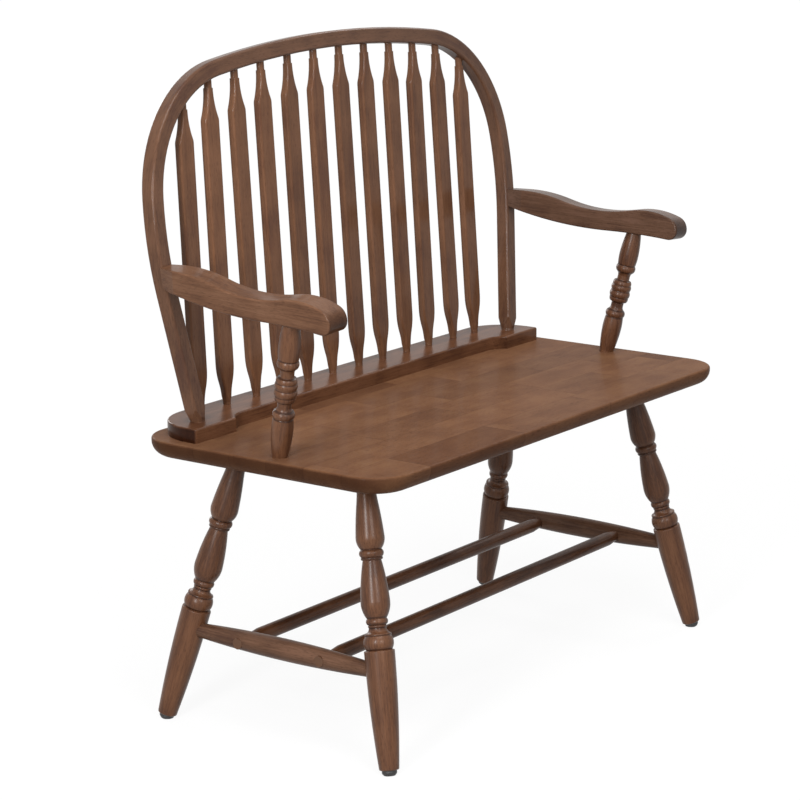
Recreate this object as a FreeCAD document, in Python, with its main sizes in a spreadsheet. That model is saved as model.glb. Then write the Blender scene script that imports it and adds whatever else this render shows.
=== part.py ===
import FreeCAD, Part
import math
import os
import re
import Sketcher

# Windsor settee with an arrow-spindle bow back, in millimetres.
# X runs along the bench, -Y is the front, Z is up, and the floor is Z = 0.
V = FreeCAD.Vector
doc = FreeCAD.newDocument("Settee")
sheet = doc.addObject("Spreadsheet::Sheet", "Sizes")
names = []


def size(name, value):
    """Adds a cell to the sheet, under its name: a number, or a formula of other cells when value is text."""
    names.append(name)
    row = len(names)
    sheet.set("A%d" % row, name)
    sheet.set("B%d" % row, "=" + value if isinstance(value, str) else str(value))
    sheet.setAlias("B%d" % row, name)


# Driving sizes, in millimetres and degrees
sizes = {
    # Clearances
    "glue_gap": 0.1,
    "end_gap": 0.6,
    # Seat plank
    "seat_height": 457,
    "seat_thickness": 28.3,
    "seat_length": 967,
    "seat_depth": 469,
    "seat_rear": 227.28,
    "seat_corner": 64,
    "seat_top_round": 4,
    "seat_under_round": 22,
    # Legs: where the axes meet the floor and the underside of the seat
    "leg_splay_x": 67.7,
    "leg_splay_front": 92.7,
    "leg_splay_rear": 103.9,
    "leg_inset_x": 112.6,
    "leg_inset_front": 118,
    "leg_inset_rear": 115.6,
    # Leg turning, from the seat down
    "leg_tenon_d": 25.4,
    "leg_tenon_depth": 20,
    "leg_top_d": 26.4,
    "leg_flare": 43.2,
    "leg_flare_d": 32.4,
    "leg_vase_d": 42.8,
    "leg_vase_taper": 49,
    "leg_vase_base": 19.2,
    "leg_ring_d": 36.8,
    "leg_ring_width": 11.1,
    "leg_step_d": 31.4,
    "leg_step_width": 3.1,
    "leg_waist_d": 28,
    "leg_urn_d": 43.8,
    "leg_urn_taper": 61,
    "leg_urn_base": 24.3,
    "leg_bead_d": 32.8,
    "leg_bead_width": 8.7,
    "leg_neck_d": 25.8,
    "leg_neck_width": 4.6,
    "leg_cove_width": 8,
    "leg_collar_d": 40,
    "leg_collar_width": 3.2,
    "leg_ball_d": 45,
    "leg_ball_width": 20.2,
    "leg_shoulder_d": 45.7,
    "leg_shoulder_round": 2,
    "leg_foot_d": 29.9,
    "leg_foot_chamfer": 1,
    "leg_lower_swell": 2,
    # Glides under the feet
    "glide_d": 22.5,
    "glide_bottom_d": 17,
    "glide_height": 7.6,
    "glide_proud": 1.2,
    "glide_nail_d": 2.4,
    "glide_nail_length": 17,
    "glide_nail_head_d": 6,
    "glide_nail_head": 1,
    "glide_nail_cover": 2.6,
    # Stretchers
    "stretcher_height": 146,
    "stretcher_d": 33.8,
    "stretcher_end_d": 23.5,
    "stretcher_depth": 15,
    "stretcher_straight": 4,
    "cross_spacing": 156,
    "cross_rear_drop": 2,
    "cross_d": 23,
    "cross_tenon_d": 17.5,
    "cross_taper": 22,
    "cross_proud": 0.4,
    # Back rail on the seat
    "rail_height": 21.9,
    "rail_end_setback": 20,
    "rail_setback": 6.7,
    "rail_width": 80.6,
    "rail_block_width": 99.1,
    "rail_block_length": 95.3,
    "rail_cove_length": 38,
    "rail_rear_corner": 80,
    "rail_front_corner": 4,
    "rail_edge_round": 3,
    # Bow: centreline arcs in a plane that leans back from the rail
    "bow_inset_y": 65.8,
    "bow_inset_x": 44.67,
    "bow_lean": 7.84,
    "bow_rise": 540.7,
    "bow_width": 25.9,
    "bow_depth": 24.2,
    "bow_edge_round": 4.5,
    "bow_top_sweep": 7.86,
    "bow_shoulder_radius": 202.8,
    "bow_shoulder_sweep": 76.21,
    "bow_side_radius": 531.9,
    "bow_side_sweep": 15.29,
    "bow_foot_d": 22,
    "bow_foot_taper": 20,
    "bow_foot_depth": 16,
    # Spindles: where each axis meets the rail and the bow, from the middle outwards
    "spindle_inset_y": 29,
    "spindle_foot_1": 35.3,
    "spindle_foot_2": 101.2,
    "spindle_foot_3": 169,
    "spindle_foot_4": 233,
    "spindle_foot_5": 305.5,
    "spindle_foot_6": 370,
    "spindle_head_1": 33.4,
    "spindle_head_2": 100.2,
    "spindle_head_3": 168.3,
    "spindle_head_4": 233.5,
    "spindle_head_5": 298,
    "spindle_head_6": 362.3,
    "spindle_blade": 33,
    "spindle_thickness": 13,
    "spindle_round": 3.6,
    "spindle_rod_d": 12.2,
    "spindle_blade_start": 4,
    "spindle_lower_flare": 60,
    "spindle_shoulder_drop": 77.5,
    "spindle_shoulder_round": 16,
    "spindle_upper_flare": 51,
    "spindle_end_taper": 24,
    "spindle_foot_depth": 14,
    "spindle_head_past": 2,
    # Arm posts and arms
    "post_inset_x": 32.5,
    "post_inset_y": 213.3,
    "post_splay_x": 19.4,
    "post_rake": 41.1,
    "arm_rise": 209.6,
    "post_end_d": 24,
    "post_foot_depth": 16,
    "post_head_depth": 15,
    "post_vase_d": 32.8,
    "post_lower_vase": 43.5,
    "post_upper_vase": 39.5,
    "post_ring_d": 33.4,
    "post_ring_width": 11.5,
    "post_neck_d": 21,
    "post_barrel_d": 35,
    "post_barrel_length": 36.5,
    "post_neck_length": 16.5,
    "arm_width": 41,
    "arm_nose": 89.7,
    "arm_nose_rise": 9,
    "arm_nose_radius": 22.2,
    "arm_nose_turn": 68.72,
    "arm_hand_radius": 139.7,
    "arm_hand_turn": 31.87,
    "arm_neck_radius": 291.6,
    "arm_neck_turn": 26.59,
    "arm_crest_radius": 286.1,
    "arm_crest_turn": 16.96,
    "arm_lip_radius": 16,
    "arm_lip_turn": 95.84,
    "arm_hollow_radius": 1066.8,
    "arm_hollow_turn": 6.11,
    "arm_belly_radius": 761.4,
    "arm_belly_turn": 16.6,
    "arm_edge_round": 3,
    "arm_roll": 4.4,
    "arm_cheek_cut": 6.5,
    "arm_cheek_length": 32,
    "arm_fix_height": 40,
    # Screws and plugs
    "rail_screw_inner": 68,
    "rail_screw_outer": 270,
    "rail_screw_inset": 53.8,
    "screw_d": 4.5,
    "screw_head_d": 8.6,
    "screw_head_rise": 3,
    "rail_screw_length": 43,
    "arm_screw_length": 46,
    "plug_d": 9.5,
    "plug_depth": 6,
}

# What follows from them
follows = {
    # Seat plank
    "seat_under": "seat_height - seat_thickness",
    "seat_front": "seat_rear - seat_depth",
    # Legs: where the axes meet the floor and the underside of the seat
    "leg_top_x": "seat_length / 2 - leg_inset_x",
    "foot_x": "leg_top_x + leg_splay_x",
    "leg_top_front_y": "seat_front + leg_inset_front",
    "foot_front_y": "leg_top_front_y - leg_splay_front",
    "leg_top_rear_y": "seat_rear - leg_inset_rear",
    "foot_rear_y": "leg_top_rear_y + leg_splay_rear",
    "leg_run_x": "leg_top_x - foot_x",
    "front_run_y": "leg_top_front_y - foot_front_y",
    "rear_run_y": "leg_top_rear_y - foot_rear_y",
    "front_leg_length": "sqrt(leg_run_x^2 + front_run_y^2 + seat_under^2)",
    "rear_leg_length": "sqrt(leg_run_x^2 + rear_run_y^2 + seat_under^2)",
    "front_leg_lean": "acos(seat_under / front_leg_length)",
    "rear_leg_lean": "acos(seat_under / rear_leg_length)",
    # Stretchers
    "side_x": "foot_x + leg_run_x * stretcher_height / seat_under",
    "side_front_y": "foot_front_y + front_run_y * stretcher_height / seat_under",
    "side_rear_y": "foot_rear_y + rear_run_y * stretcher_height / seat_under",
    "side_span": "side_rear_y - side_front_y",
    "side_mid_y": "(side_rear_y + side_front_y) / 2",
    "leg_r_at_side": "leg_shoulder_d / 2",
    "side_tenon_start": "leg_r_at_side - stretcher_depth",
    "side_swell": "(stretcher_d - stretcher_end_d) / 2",
    "side_free": "side_span - 2 * (leg_r_at_side + stretcher_straight)",
    "side_r_at_cross": "stretcher_end_d / 2 + side_swell * (1 - (cross_spacing / side_free)^2)",
    "cross_half": "side_x + side_r_at_cross + cross_proud",
    # Back rail on the seat
    "rail_top": "seat_height + rail_height",
    "rail_length": "seat_length - 2 * rail_end_setback",
    "rail_rear": "seat_rear - rail_setback",
    "rail_front": "rail_rear - rail_width",
    "rail_block_front": "rail_rear - rail_block_width",
    "rail_cove_x": "rail_length / 2 - rail_block_length",
    "rail_cove_step": "rail_block_width - rail_width",
    "rail_cove_radius": "(rail_cove_length^2 + rail_cove_step^2) / (2 * rail_cove_step)",
    # Bow: centreline arcs in a plane that leans back from the rail
    "bow_foot_y": "rail_rear - bow_inset_y",
    "bow_foot_x": "rail_length / 2 - bow_inset_x",
    "bow_turn_2": "bow_top_sweep + bow_shoulder_sweep",
    "bow_turn_3": "bow_turn_2 + bow_side_sweep",
    "bow_slope": "cos(bow_turn_3) / sin(bow_turn_3)",
    "bow_reach_x": "(bow_shoulder_radius - bow_side_radius) * sin(bow_turn_2) + bow_side_radius * sin(bow_turn_3)",
    "bow_reach_z": "(bow_shoulder_radius - bow_side_radius) * cos(bow_turn_2) + bow_side_radius * cos(bow_turn_3)",
    "bow_fixed_x": "bow_reach_x - bow_shoulder_radius * sin(bow_top_sweep)",
    "bow_fixed_z": "bow_rise + bow_reach_z - bow_shoulder_radius * cos(bow_top_sweep)",
    "bow_gain": "sin(bow_top_sweep) - (1 - cos(bow_top_sweep)) * bow_slope",
    "bow_top_radius": "(bow_foot_x - bow_fixed_x - bow_fixed_z * bow_slope) / bow_gain",
    "bow_z1": "bow_rise - bow_top_radius",
    "bow_x2": "(bow_top_radius - bow_shoulder_radius) * sin(bow_top_sweep)",
    "bow_z2": "bow_z1 + (bow_top_radius - bow_shoulder_radius) * cos(bow_top_sweep)",
    "bow_x3": "bow_x2 + (bow_shoulder_radius - bow_side_radius) * sin(bow_turn_2)",
    "bow_z3": "bow_z2 + (bow_shoulder_radius - bow_side_radius) * cos(bow_turn_2)",
    "bow_ja_x": "bow_top_radius * sin(bow_top_sweep)",
    "bow_ja_z": "bow_z1 + bow_top_radius * cos(bow_top_sweep)",
    "bow_jb_x": "bow_x2 + bow_shoulder_radius * sin(bow_turn_2)",
    "bow_jb_z": "bow_z2 + bow_shoulder_radius * cos(bow_turn_2)",
    "bow_jc_x": "bow_x3 + bow_side_radius * sin(bow_turn_3)",
    "bow_jc_z": "bow_z3 + bow_side_radius * cos(bow_turn_3)",
    # Spindles: where each axis meets the rail and the bow, from the middle outwards
    "spindle_widening": "(spindle_blade - spindle_rod_d) / 2",
    "spindle_lower_turn": "2 * atan(spindle_widening / spindle_lower_flare)",
    "spindle_lower_radius": "spindle_lower_flare / (2 * sin(spindle_lower_turn))",
    "spindle_upper_turn": "2 * atan(spindle_widening / spindle_upper_flare)",
    "spindle_hollow_radius": "spindle_upper_flare / sin(spindle_upper_turn) - spindle_shoulder_round",
    # Arm posts and arms
    "post_foot_x": "seat_length / 2 - post_inset_x",
    "post_head_x": "post_foot_x + post_splay_x",
    "post_foot_y": "seat_front + post_inset_y",
    "post_head_y": "post_foot_y - post_rake",
    "arm_height": "seat_height + arm_rise",
    "post_run_x": "post_head_x - post_foot_x",
    "post_run_y": "post_head_y - post_foot_y",
    "post_rise": "arm_height - seat_height",
    "post_length": "sqrt(post_run_x^2 + post_run_y^2 + post_rise^2)",
    "post_lean": "acos(post_rise / post_length)",
    "arm_fix_z": "(arm_height + arm_fix_height - rail_top) / cos(bow_lean)",
    "arm_fix_x": "bow_x3 + sqrt(bow_side_radius^2 - (arm_fix_z - bow_z3)^2)",
    "arm_fix_y": "bow_foot_y + arm_fix_z * sin(bow_lean) - bow_depth / 2",
    "arm_toe": "atan((post_head_x - arm_fix_x) / (arm_fix_y - post_head_y))",
    "arm_reach": "(arm_fix_y - post_head_y) / cos(arm_toe)",
    "spindle_y": "rail_rear - spindle_inset_y",
    "rail_screw_y": "rail_rear - rail_screw_inset",
}
for name, value in list(sizes.items()) + list(follows.items()):
    size(name, value)
doc.recompute()


def ex(text):
    """Point every size name of an expression at the sheet."""
    known = set(names)
    return re.sub(r"[a-z_][a-z_0-9]*", lambda m: "Sizes." + m[0] if m[0] in known else m[0], str(text))


def val(text):
    number = sheet.evalExpression(ex(text))
    return float(getattr(number, "Value", number))


# Spindle axes: length and lean follow from the two ends
for k in range(1, 7):
    head = "spindle_head_%d" % k
    inside = val(head) < val("bow_ja_x")
    radius, cx, cz = ("bow_top_radius", "0", "bow_z1") if inside else ("bow_shoulder_radius", "bow_x2", "bow_z2")
    size("bow_over_%d" % k, "%s + sqrt(%s^2 - (%s - %s)^2)" % (cz, radius, head, cx))
    size("spindle_back_%d" % k, "bow_foot_y + bow_over_%d * sin(bow_lean) - spindle_y" % k)
    size("spindle_up_%d" % k, "bow_over_%d * cos(bow_lean)" % k)
    size("spindle_side_%d" % k, "spindle_head_%d - spindle_foot_%d" % (k, k))
    size("spindle_lean_%d" % k, "atan(spindle_back_%d / spindle_up_%d)" % (k, k))
    size("spindle_rise_%d" % k, "sqrt(spindle_back_%d^2 + spindle_up_%d^2)" % (k, k))
    size("spindle_splay_%d" % k, "atan(spindle_side_%d / spindle_rise_%d)" % (k, k))
    size("spindle_length_%d" % k, "sqrt(spindle_side_%d^2 + spindle_rise_%d^2)" % (k, k))


# The arm's profile: tangent arcs that follow on from the nose, over the top and underneath
def trail(name, heading, turns):
    """Joints of arcs that follow on from the nose of the arm; +1 turns left, -1 right."""
    x, y, spots = "arm_nose", "arm_nose_rise", []
    for i, (way, radius, turn) in enumerate(turns):
        after = "%s + %s * %s" % (heading, way, turn)
        size("%s_x%d" % (name, i + 1), "%s + %s * %s * (sin(%s) - sin(%s))" % (x, way, radius, after, heading))
        size("%s_z%d" % (name, i + 1), "%s + %s * %s * (cos(%s) - cos(%s))" % (y, way, radius, heading, after))
        x, y, heading = "%s_x%d" % (name, i + 1), "%s_z%d" % (name, i + 1), after
        spots.append((x, y))
    tail = "-arm_reach - 40"
    return spots, (tail, "%s + (%s - %s) * sin(%s) / cos(%s)" % (y, tail, x, heading, heading))


over, over_end = trail("arm_over", "90", [
    ("1", "arm_nose_radius", "arm_nose_turn"), ("1", "arm_hand_radius", "arm_hand_turn"),
    ("-1", "arm_neck_radius", "arm_neck_turn"), ("1", "arm_crest_radius", "arm_crest_turn")])
under, under_end = trail("arm_under", "-90", [
    ("-1", "arm_lip_radius", "arm_lip_turn"), ("1", "arm_hollow_radius", "arm_hollow_turn"),
    ("-1", "arm_belly_radius", "arm_belly_turn")])
arm_points = [
    under_end + (None,), under[2] + (("radius", "arm_belly_radius", True),),
    under[1] + (("radius", "arm_hollow_radius", False),), under[0] + (("radius", "arm_lip_radius", True),),
    ("arm_nose", "arm_nose_rise", ("radius", "arm_nose_radius", True)),
    over[0] + (("radius", "arm_hand_radius", True),), over[1] + (("radius", "arm_neck_radius", False),),
    over[2] + (("radius", "arm_crest_radius", True),), over[3] + (None,), over_end + (None,)]
sheet.recompute()


def spin(axis, angle):
    return "rotation(vector(%s); %s)" % ({"x": "1; 0; 0", "y": "0; 1; 0", "z": "0; 0; 1"}[axis], ex(angle))


def at(x, y, z, turns=()):
    """Placement expression: a point, then turns about the piece's own axes."""
    turn = " * ".join(spin(a, t) for a, t in turns) or spin("z", "0")
    return "placement(vector(%s; %s; %s); %s)" % (ex(x), ex(y), ex(z), turn)


def put(obj, *places):
    obj.setExpression("Placement", " * ".join(places))
    return obj


def body(name):
    return doc.addObject("PartDesign::Body", name)


def sketch(owner, name, plane, offset=None):
    sk = owner.newObject("Sketcher::SketchObject", name)
    role = [f for f in owner.Origin.OriginFeatures if f.Role == plane + "_Plane"][0]
    sk.AttachmentSupport = [(role, "")]
    sk.MapMode = "FlatFace"
    if offset:
        sk.setExpression("AttachmentOffset.Base.z", ex(offset))
    return sk


def arc(sk, p, q, radius, outward):
    """Arc from p to q, bulging to the right of the way when outward."""
    mid, half = (p + q) * 0.5, (q - p).Length / 2
    side = V(-(q - p).y, (q - p).x, 0).normalize() * (1 if outward else -1)
    centre = mid + side * math.sqrt(max(radius * radius - half * half, 1e-9))
    a, b = (p, q) if outward else (q, p)
    begin = math.atan2(a.y - centre.y, a.x - centre.x)
    end = math.atan2(b.y - centre.y, b.x - centre.x)
    circle = Part.Circle(centre, V(0, 0, 1), radius)
    return sk.addGeometry(Part.ArcOfCircle(circle, begin, end if end > begin else end + 2 * math.pi), False)


def outline(sk, points, closed=True):
    """Draws points (x, y, bend) joined by lines and arcs, every one bound to the sheet.

    bend is None for a line, ("bulge", height) or ("radius", value, outward) for an arc.
    """
    sk.recompute()
    spots = [V(val(p[0]), val(p[1]), 0) for p in points]
    count = len(points)
    runs = count if closed else count - 1
    ends, rules, bound = [], [], []
    for i in range(runs):
        p, q, bend = spots[i], spots[(i + 1) % count], points[i][2]
        if bend is None:
            ends.append((sk.addGeometry(Part.LineSegment(p, q), False), 1, 2))
            continue
        if bend[0] == "bulge":
            rise = val(bend[1])
            outward = rise > 0
            radius = ((q - p).Length ** 2 / 4 + rise ** 2) / (2 * abs(rise))
            a, b = points[i], points[(i + 1) % count]
            rule = "((((%s) - (%s))^2 + ((%s) - (%s))^2) / 4 + (%s)^2) / (2 * abs(%s))" % (
                b[0], a[0], b[1], a[1], bend[1], bend[1])
        else:
            radius, rule, outward = val(bend[1]), bend[1], bend[2]
        n = arc(sk, p, q, radius, outward)
        rules.append(rule)
        bound.append(Sketcher.Constraint("Radius", n, radius))
        ends.append((n, 1, 2) if outward else (n, 2, 1))
    for i in range(runs):
        n, start, stop = ends[i]
        for k, axis in ((0, "DistanceX"), (1, "DistanceY")):
            bound.append(Sketcher.Constraint(axis, -1, 1, n, start, spots[i][k]))
            rules.append(points[i][k])
            if not closed and i == runs - 1:
                bound.append(Sketcher.Constraint(axis, -1, 1, n, stop, spots[-1][k]))
                rules.append(points[-1][k])
    joins = []
    for i in range(runs if closed else runs - 1):
        joins.append(Sketcher.Constraint("Coincident", ends[i][0], ends[i][2], ends[(i + 1) % runs][0], ends[(i + 1) % runs][1]))
    first = sk.ConstraintCount
    sk.addConstraint(bound + joins)
    for c, rule in enumerate(rules):
        sk.setExpression("Constraints[%d]" % (first + c), ex(rule))
    return sk


def pad(owner, name, sk, length, midplane=False):
    f = owner.newObject("PartDesign::Pad", name)
    f.Profile = sk
    f.setExpression("Length", ex(length))
    f.Midplane = midplane
    return f


def turned(name, points):
    """Body turned about its own Z axis from an outline of (radius, height, bend)."""
    b = body(name)
    sk = outline(sketch(b, name + "_profile", "XZ"), points)
    f = b.newObject("PartDesign::Revolution", name + "_turning")
    f.Profile = sk
    f.ReferenceAxis = (sk, ["V_Axis"])
    f.Angle = 360
    return b


def round_edges(owner, name, base, radius, pick):
    base.recompute(True)
    f = owner.newObject("PartDesign::Fillet", name)
    f.Base = (base, ["Edge%d" % (i + 1) for i, e in enumerate(base.Shape.Edges) if pick(e)])
    f.setExpression("Radius", ex(radius))
    return f


def drill(name, diameter, length, *places):
    """Round cutter along its own Z axis."""
    c = doc.addObject("Part::Cylinder", name)
    c.setExpression("Radius", ex("(%s) / 2" % diameter))
    c.setExpression("Height", ex(length))
    return put(c, *places)


def cone(name, foot_d, head_d, length, *places):
    c = doc.addObject("Part::Cone", name)
    c.setExpression("Radius1", ex("(%s) / 2" % foot_d))
    c.setExpression("Radius2", ex("(%s) / 2" % head_d))
    c.setExpression("Height", ex(length))
    return put(c, *places)


def cut(label, base, tools):
    """The finished piece: its blank less the holes drilled in it."""
    group = doc.addObject("Part::Compound", label + "_holes")
    group.Links = tools
    c = doc.addObject("Part::Cut", label)
    c.Base = base
    c.Tool = group
    c.Label = label
    finished[label] = c
    return c


def mirrored_copy(label, source):
    """The left-hand piece is the right-hand one seen in a mirror on the middle plane."""
    m = doc.addObject("Part::Mirroring", label)
    m.Source = source
    m.Normal = V(1, 0, 0)
    m.Label = label
    finished[label] = m
    return m


finished = {}
bulge = lambda rise: ("bulge", rise)

# Where things go, as placement expressions shared by a piece and the holes it needs
leg_spot = {}
for end, length in (("front", "front_leg"), ("rear", "rear_leg")):
    for side, s in (("left", "-1"), ("right", "1")):
        lean = ex(length + "_lean")
        heading = "atan2(%s_run_y; %s * leg_run_x)" % (end, s)
        leg_spot[end + "_" + side] = at(s + " * foot_x", "foot_%s_y" % end, "0", [("z", heading), ("y", length + "_lean")])
side_spot = {}
post_spot = {}
arm_spot = {}
for side, s in (("left", "-1"), ("right", "1")):
    side_spot[side] = at(s + " * side_x", "side_front_y", "stretcher_height", [("x", "-90")])
    heading = "atan2(post_run_y; %s * post_run_x)" % s
    post_spot[side] = at(s + " * post_foot_x", "post_foot_y", "seat_height", [("z", heading), ("y", "post_lean")])
    toe = "%s * arm_toe - 90 deg" % s
    arm_spot[side] = at(s + " * post_head_x", "post_head_y", "arm_height", [("z", toe), ("x", "-1 * %s * arm_roll" % s)])
bow_spot = at("0", "bow_foot_y", "rail_top", [("x", "-bow_lean")])
cross_spot = {}
for end, s, drop in (("front", "-1", "0"), ("rear", "1", "cross_rear_drop")):
    cross_spot[end] = at("0", "side_mid_y + %s * cross_spacing / 2" % s, "stretcher_height - " + drop, [("y", "90")])

# Spindle axes
spindle_spot = {}
spindles = [(6 - i if i < 6 else i - 5, "-1" if i < 6 else "1", "spindle_%02d" % (i + 1)) for i in range(12)]
for k, s, name in spindles:
    turns = [("x", "-spindle_lean_%d" % k), ("y", "%s * spindle_splay_%d" % (s, k))]
    spindle_spot[name] = at("%s * spindle_foot_%d" % (s, k), "spindle_y", "rail_top", turns)

# Glides, their nails and the legs
floor = doc.addObject("Part::Box", "below_floor")
floor.setExpression("Length", ex("2 * seat_length"))
floor.setExpression("Width", ex("2 * seat_length"))
floor.setExpression("Height", ex("seat_under / 4"))
put(floor, at("-seat_length", "-seat_length", "-seat_under / 4"))
nails = []
for end in ("front", "rear"):
    spot = end + "_right"
    place = leg_spot[spot]
    long = end + "_leg_length"
    nail = turned("nail_" + spot, [
        ("0", "glide_nail_cover", None),
        ("glide_nail_head_d / 2", "glide_nail_cover", None),
        ("glide_nail_head_d / 2", "glide_nail_cover + glide_nail_head", None),
        ("glide_nail_d / 2", "glide_nail_cover + glide_nail_head", None),
        ("glide_nail_d / 2", "glide_nail_cover + glide_nail_length - glide_nail_d", None),
        ("0", "glide_nail_cover + glide_nail_length", None)])
    nails.append(put(nail, place))
    nails.append(mirrored_copy("nail_%s_left" % end, nail))
    finished.pop("nail_%s_left" % end)
    head = drill("nail_seat_" + spot, "glide_nail_head_d + 2 * glue_gap", "glide_nail_head + 2 * glue_gap",
                 place, at("0", "0", "glide_nail_cover - glue_gap"))
    bore = drill("nail_bore_" + spot, "glide_nail_d + 2 * glue_gap", "glide_nail_length + end_gap",
                 place, at("0", "0", "glide_nail_cover"))
    blank = turned("glide_blank_" + spot, [
        ("0", "-glide_proud", None),
        ("glide_bottom_d / 2 - 1.5", "-glide_proud", bulge("0.5")),
        ("glide_bottom_d / 2 + 1", "0.8", bulge("0.8")),
        ("glide_d / 2", "glide_height - 2.2", None),
        ("glide_d / 2", "glide_height", None),
        ("0", "glide_height", None)])
    glide = cut("glide_" + spot, put(blank, place), [floor, head, bore])
    mirrored_copy("glide_%s_left" % end, glide)

    drop = [long]

    def below(amount):
        drop[0] = drop[0] + " - " + amount
        return drop[0]

    points = [
        ("0", long + " + leg_tenon_depth", None),
        ("leg_tenon_d / 2 - 1", long + " + leg_tenon_depth", None),
        ("leg_tenon_d / 2", long + " + leg_tenon_depth - 1", None),
        ("leg_tenon_d / 2", long + " - 6", None),
        ("leg_top_d / 2", long + " - 9", "0.4"),
        ("leg_flare_d / 2", below("leg_flare"), "-0.5"),
        ("leg_vase_d / 2", below("leg_vase_taper"), "-2"),
        ("leg_step_d / 2 - 0.1", below("leg_vase_base"), None),
        ("leg_step_d / 2", below("0.4"), "-(leg_ring_d - leg_step_d) / 2"),
        ("leg_step_d / 2", below("leg_ring_width"), "-0.8"),
        ("leg_step_d / 2", below("leg_step_width - 0.8"), None),
        ("leg_waist_d / 2", below("0.8"), "-1.25"),
        ("leg_urn_d / 2", below("leg_urn_taper"), "-1.95"),
        ("leg_bead_d / 2 - 1.4", below("leg_urn_base"), None),
        ("leg_bead_d / 2 - 1.7", below("0.5"), "-1.7"),
        ("leg_bead_d / 2 - 1.7", below("leg_bead_width"), None),
        ("leg_neck_d / 2", below("0.4"), "-1"),
        ("leg_neck_d / 2", below("leg_neck_width"), None),
        ("leg_neck_d / 2 + 0.1", below("0.4"), "1.6"),
        ("leg_collar_d / 2 - 0.4", below("leg_cove_width"), "-0.5"),
        ("leg_collar_d / 2 - 0.6", below("leg_collar_width"), None),
        ("leg_collar_d / 2 - 0.6", below("0.4"), "-(leg_ball_d - leg_collar_d) / 2 - 0.6"),
        ("leg_collar_d / 2 - 0.6", below("leg_ball_width"), None),
        ("leg_shoulder_d / 2 - leg_shoulder_round", below("0.6"), "-0.29 * leg_shoulder_round"),
        ("leg_shoulder_d / 2", below("leg_shoulder_round"), "-leg_lower_swell"),
        ("leg_foot_d / 2", "glide_height + leg_foot_chamfer", None),
        ("leg_foot_d / 2 - leg_foot_chamfer", "glide_height", None),
        ("0", "glide_height", None)]
    # the list runs from the top down, so it is turned round to run anticlockwise
    way = points[::-1]
    bends = [p[2] for p in points]
    path = []
    for i, p in enumerate(way):
        bend = bends[len(points) - 2 - i] if i < len(points) - 1 else None
        path.append((p[0], p[1], bulge("-1 * (%s)" % bend) if bend else None))
    blank = turned("leg_blank_" + spot, path)
    run = side_spot["right"]
    if end == "front":
        socket = drill("stretcher_socket_" + spot, "stretcher_end_d + 2 * glue_gap", "leg_r_at_side * 2",
                       run, at("0", "0", "side_tenon_start - end_gap"))
    else:
        socket = drill("stretcher_socket_" + spot, "stretcher_end_d + 2 * glue_gap", "leg_r_at_side * 2",
                       run, at("0", "0", "side_span - side_tenon_start + end_gap - leg_r_at_side * 2"))
    leg = cut("leg_" + spot, put(blank, place), [socket, bore])
    mirrored_copy("leg_%s_left" % end, leg)

# Side stretchers, each bored right through for the two cross stretchers
straight = "leg_r_at_side + stretcher_straight"
blank = turned("side_blank", [
    ("0", "side_tenon_start", None),
    ("stretcher_end_d / 2 - 1", "side_tenon_start", None),
    ("stretcher_end_d / 2", "side_tenon_start + 1", None),
    ("stretcher_end_d / 2", straight, bulge("side_swell")),
    ("stretcher_end_d / 2", "side_span - (%s)" % straight, None),
    ("stretcher_end_d / 2", "side_span - side_tenon_start - 1", None),
    ("stretcher_end_d / 2 - 1", "side_span - side_tenon_start", None),
    ("0", "side_span - side_tenon_start", None)])
bores = []
for end in ("front", "rear"):
    bores.append(drill("cross_bore_" + end, "cross_tenon_d + 2 * glue_gap", "stretcher_d * 2",
                       cross_spot[end], at("0", "0", "side_x - stretcher_d")))
side = cut("side_stretcher_right", put(blank, side_spot["right"]), bores)
mirrored_copy("side_stretcher_left", side)

# Cross stretchers: tapered to tenons that show on the outside
for end in ("front", "rear"):
    inner = "side_x - side_r_at_cross"
    rod = turned("long_stretcher_" + end, [
        ("0", "-cross_half", None),
        ("cross_tenon_d / 2 - 0.8", "-cross_half", bulge("0.2")),
        ("cross_tenon_d / 2", "-cross_half + 0.6", None),
        ("cross_tenon_d / 2", "-(%s) + 1" % inner, None),
        ("cross_d / 2", "-(%s) + 1 + cross_taper" % inner, None),
        ("cross_d / 2", "%s - 1 - cross_taper" % inner, None),
        ("cross_tenon_d / 2", "%s - 1" % inner, None),
        ("cross_tenon_d / 2", "cross_half - 0.6", bulge("0.2")),
        ("cross_tenon_d / 2 - 0.8", "cross_half", None),
        ("0", "cross_half", None)])
    finished[rod.Name] = put(rod, cross_spot[end])

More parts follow.
